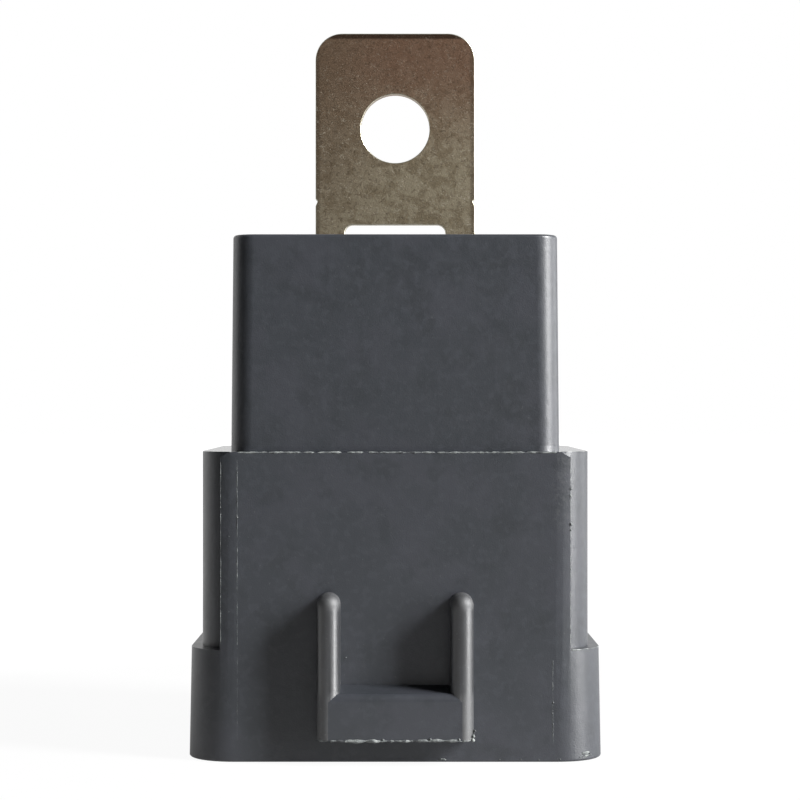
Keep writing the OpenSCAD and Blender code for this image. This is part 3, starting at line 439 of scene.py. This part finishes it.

# The ribs are painted a darker colour than the moulding. This is painted shade that keeps their
# sides dark beside their stronger shine.
burnished_painted_shade = Finish("burnished_painted_shade_ribs", tint(30, 32, 35), 0.37, specular=1.0, ior=1.78)
burnished_painted_shade.patches(tint(38, 40, 44), 0.9, 0.46, 0.62, detail=4)
burnished_painted_shade.patches(tint(112, 114, 114), 0.2, 0.64, 0.72, 0.4)
burnished_painted_shade.relief(burnished_painted_shade.grain(0.12, 4), 0.014)
burnished_painted_shade.shine(burnished_painted_shade.grain(0.5), 0.35, 0.45)
burnished_painted_shade.polish(burnished_painted_shade.along("Z", RIB_TOP - 1.5, RIB_TOP - 0.8), 0.66)
burnished_painted_shade.polish(burnished_painted_shade.along("Z", BAR_TOP + 0.4, BAR_TOP - 0.4), 0.58)
housing = rounded_copy("housing", "moulded_housing", "relay",
                       moulded, moulded_edge, 0.16, 3)
burnished_painted_shade_slot = len(housing.data.materials)
housing.data.materials.append(burnished_painted_shade.mat)
for polygon in housing.data.polygons:
    if polygon.center.y < RIB_ROOT_Y * MM and abs(polygon.center.x) > RIB_INSIDE * MM:
        polygon.material_index = burnished_painted_shade_slot


# ---------------------------------------------------------------- flash on the moulding
# Thin ragged fins of nylon stand where the mould's halves met: along the shoulder, down both sides
# of the plates, under the lock's bar, and as odd crumbs on the rim. Thin flash is paler than the
# moulding, since the light comes through it.
flash = Finish("flash_fins", tint(104, 108, 108), 0.5)
flash.patches(tint(142, 146, 144), 0.5, 0.45, 0.6)
flash.patches(tint(70, 72, 74), 0.9, 0.56, 0.64)
flash.relief(flash.grain(0.08), 0.012)

RING_GAP, RING_SIDES = 0.18, 6
RING_ANGLES = [math.radians(360 / RING_SIDES * k + 15) for k in range(RING_SIDES)]
THINNEST, THICKEST, PINCHED = 0.12, 1.8, 0.1


def fin(bm, start, end, height, waver, seed, fullness=0.0):
    """Ragged bead from start to end: a string of rings whose size and place wander along it."""
    start, end = Vector(start), Vector(end)
    run = end - start
    count = max(3, round(run.length / RING_GAP))
    ahead = run.normalized()
    side = ahead.orthogonal().normalized()
    cross = ahead.cross(side)
    rings = []
    for i in range(count + 1):
        t = i / count
        where = Vector((t * run.length * 1.7, seed * 9.1, 0))
        swell = 0.55 + 0.75 * noise.noise(where) + 0.5 * noise.noise(where * 4.3)
        size = height * max(THINNEST, min(THICKEST, swell) + fullness)
        if i in (0, count):
            size = height * PINCHED
        drift = (side * noise.noise(where + Vector((0, 3.1, 0))) +
                 cross * noise.noise(where + Vector((0, 0, 5.7)))) * waver
        middle = start + run * t + drift
        rings.append([
            bm.verts.new((middle + (side * math.cos(a) + cross * math.sin(a)) * size) * MM)
            for a in RING_ANGLES])
    for ring, after in zip(rings, rings[1:]):
        for k in range(RING_SIDES):
            j = (k + 1) % RING_SIDES
            bm.faces.new((ring[k], ring[j], after[j], after[k]))
    bm.faces.new(list(reversed(rings[0])))
    bm.faces.new(rings[-1])


def crumb(bm, place, size, seed):
    """Torn crumb of flash, a lumpy pebble about size millimetres across."""
    pebble = bmesh.ops.create_icosphere(bm, subdivisions=2, radius=0.5)["verts"]
    shape = Vector((0.8 + 0.5 * noise.noise(Vector((seed, 0, 0))), 0.8,
                    0.8 + 0.5 * noise.noise(Vector((0, seed, 0)))))
    for v in pebble:
        lump = 1 + 0.5 * noise.noise(v.co * 3 + Vector((seed * 5.3, 0, 0)))
        v.co = (Vector(place) + v.co * shape * lump * size) * MM


LOCK_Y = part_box("housing")[0].y / MM
BAR_Z = 2.2
FLANGE_TOP, FLANGE_DRAFT = 9.4, math.radians(1)
SEAM = 13.3
STEP, STEP_SINK = 14.8, 0.24


def on_front(x, z, sink=0.0):
    """Point on the front face, upright on the plate and drafted out over the flange."""
    drafted = max(0.0, FLANGE_TOP - z) * math.tan(FLANGE_DRAFT)
    return (x, PLATE_Y - drafted + sink, z)


def on_lock(x, rise, sink=0.0):
    """Point on the lock's front face, rise above the bar's underside."""
    return (x, LOCK_Y + sink, BAR_Z + rise)


fins = bmesh.new()
for start, end, height, waver, seed, fullness in (
        # along the shoulder
        (on_front(-13.4, SHOULDER_Z - 0.04, 0.05), on_front(13.7, SHOULDER_Z - 0.04, 0.05),
         0.10, 0.03, 1, 0.3),
        # under the lock's bar and round its two ends
        (on_lock(-6.45, 0.02, 0.35), on_lock(-5.4, 0, 0.04), 0.09, 0.03, 2, 0.3),
        (on_lock(-5.5, 0, 0.02), on_lock(5.6, 0, 0.02), 0.125, 0.06, 3, 0.45),
        (on_lock(5.5, 0, 0.04), on_lock(6.4, 0.03, 0.4), 0.13, 0.04, 4, 0.3),
        # down the seams near the plate's sides
        (on_front(-13.32, FLANGE_TOP), on_front(-13.32, SHOULDER_Z - 0.6), 0.026, 0.015, 5, 0),
        (on_front(-SEAM, 1.2), on_front(-SEAM, 8.9), 0.014, 0.01, 8, 0),
        (on_front(13.28, 1.4), on_front(13.28, 8.6), 0.026, 0.015, 6, 0),
        # down the steps beside the plate
        (on_front(-14.72, 9.8, 0.18), on_front(-14.72, SHOULDER_Z - 0.8, 0.18),
         0.026, 0.01, 7, 0),
        (on_front(14.78, 9.6, STEP_SINK), on_front(14.78, SHOULDER_Z - 0.6, STEP_SINK),
         0.04, 0.02, 9, 0.1)):
    fin(fins, start, end, height, waver, seed, fullness)

# Round the flange's right corner, along the ledge's edge.
CORNER_CENTRE, CORNER_R = Vector((13.49, -11.5, FLANGE_TOP - 0.01)), 3.99
turns = [CORNER_CENTRE + CORNER_R * Vector((math.sin(a), -math.cos(a), 0))
         for a in (math.radians(degrees) for degrees in (20, 35, 50, 65, 80))]
for seed, (start, end) in enumerate(zip(turns, turns[1:])):
    fin(fins, start, end, 0.07, 0.01, 20 + seed, 0.3)

# The torn rim at the right corner, a burr below the bar, and the tear up the bar's right end.
for seed, (start, end) in enumerate((
        ((15.55, -15.12, 0.42), (16.5, -14.5, 0.72)),
        ((15.7, -15.04, 0.6), (16.35, -14.64, 0.78)),
        ((15.9, -14.92, 0.34), (16.6, -14.38, 0.5)),
        ((3.6, -15.66, 0.3), (4.3, -15.66, 0.22)),
        ((6.45, LOCK_Y + 0.5, 2.15), (6.62, LOCK_Y + 0.7, 3.1)))):
    fin(fins, start, end, 0.1, 0.05, 30 + seed, 0.3)

for seed, (place, size) in enumerate((
        (on_lock(6.5, 0.35, 0.45), 0.36), (on_lock(6.62, 0.75, 0.6), 0.28),
        (on_lock(6.45, 0.02, 0.4), 0.44), (on_lock(2.9, 0.14), 0.3),
        (on_lock(-1.0, 0.1), 0.24), (on_lock(5.3, 0.12), 0.28),
        ((-4.15, PLATE_Y, 8.8), 0.16), (on_front(-SEAM, 20.6), 0.16),
        (on_front(-13.35, 22.0), 0.11), (on_front(-SEAM, 24.4), 0.12),
        (on_front(-14.74, 21.4, 0.18), 0.12), (on_front(SEAM, 5.0), 0.16),
        (on_front(13.25, 4.1), 0.12), (on_front(SEAM, 3.2), 0.14),
        (on_front(14.82, 23.0, STEP_SINK), 0.26), (on_front(STEP, 22.4, STEP_SINK), 0.2),
        (on_front(14.82, 20.0, STEP_SINK), 0.3), (on_front(14.82, 19.5, STEP_SINK), 0.2),
        (on_front(STEP, 16.2, STEP_SINK), 0.16), (on_front(3.85, 0.27), 0.26),
        (on_front(4.2, 0.22), 0.2), (on_front(-14.0, 19.0), 0.09), (on_front(8.8, 0.2), 0.16),
        (on_front(10.6, 0.24), 0.12), (on_front(12.1, 0.2), 0.14), (on_front(13.9, 0.24), 0.13),
        ((16.5, -14.46, 0.5), 0.3), ((15.6, -15.1, 0.35), 0.24))):
    crumb(fins, place, size, seed + 11)
fins_mesh = bpy.data.meshes.new("flash")
fins.to_mesh(fins_mesh)
fins.free()
fins_mesh.materials.append(flash.mat)
for polygon in fins_mesh.polygons:
    polygon.use_smooth = True
fins_piece = bpy.data.objects.new("mould_flash", fins_mesh)
scene.collection.objects.link(fins_piece)
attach(fins_piece, "relay")


# ---------------------------------------------------------------- the bolt tab
# Blanked from 1.2 mm steel sheet and plated. The die rolls the edge over on the front and leaves it
# sharp behind; the forked foot is pushed down into the pocket on the cover's back.
FORK_SIDE, _, TAB_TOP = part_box("bracket")[1] / MM
plated = Finish("plated_steel", tint(174, 162, 138), 0.45, metal=0.85)
plated.patches(tint(150, 137, 113), 1.2, 0.44, 0.6, detail=4, warp=0.6)
redder_top = plated.along("Z", 52.0, 64.0)
plated.over(tint(132, 100, 81), plated.times(redder_top, 0.85))
# Painted shade: the tab's upper left, away from the light, is painted darker and browner.
painted_shade_left = plated.times(plated.along("X", 1.0, -FORK_SIDE), plated.along("Z", 46.0, 55.0))
plated.over(tint(126, 108, 88), plated.times(painted_shade_left, 0.7))
# Painted shade: dark bands are painted just inside the rolled top edge and the two side edges.
plated.over(tint(58, 42, 32), plated.times(plated.along("Z", TAB_TOP - 0.62, TAB_TOP - 0.40), 0.85))
for side in (-1, 1):
    painted_shade_beside_edge = plated.along("X", side * (FORK_SIDE - 0.75), side * (FORK_SIDE - 0.4))
    plated.over(tint(86, 72, 58), plated.times(painted_shade_beside_edge, 0.5))
pale_specks = plated.band(plated.grain(0.24, 4, stretch=(0.7, 1, 1), warp=1.6), 0.56, 0.68)
plated.over(tint(226, 216, 196), plated.times(plated.along("Z", 72.0, 54.0), pale_specks, 0.45))
plated.patches(tint(84, 70, 56), 0.3, 0.54, 0.66, 0.45, detail=4, stretch=(0.8, 1, 1), warp=1.2)
plated.relief(plated.grain(0.26, 4, warp=1.0), 0.022)
plated.shine(plated.grain(0.4), 0.38, 0.54)
rolled = Finish("rolled_steel_edge", tint(222, 218, 198), 0.3, metal=0.9)
rolled.patches(tint(200, 194, 170), 1.2, 0.45, 0.65)
rolled.relief(rolled.grain(0.2, stretch=(1, 3, 1)), 0.008)
rounded_copy("bracket", "bolt_tab", "relay", plated, rolled, 0.28, 4)
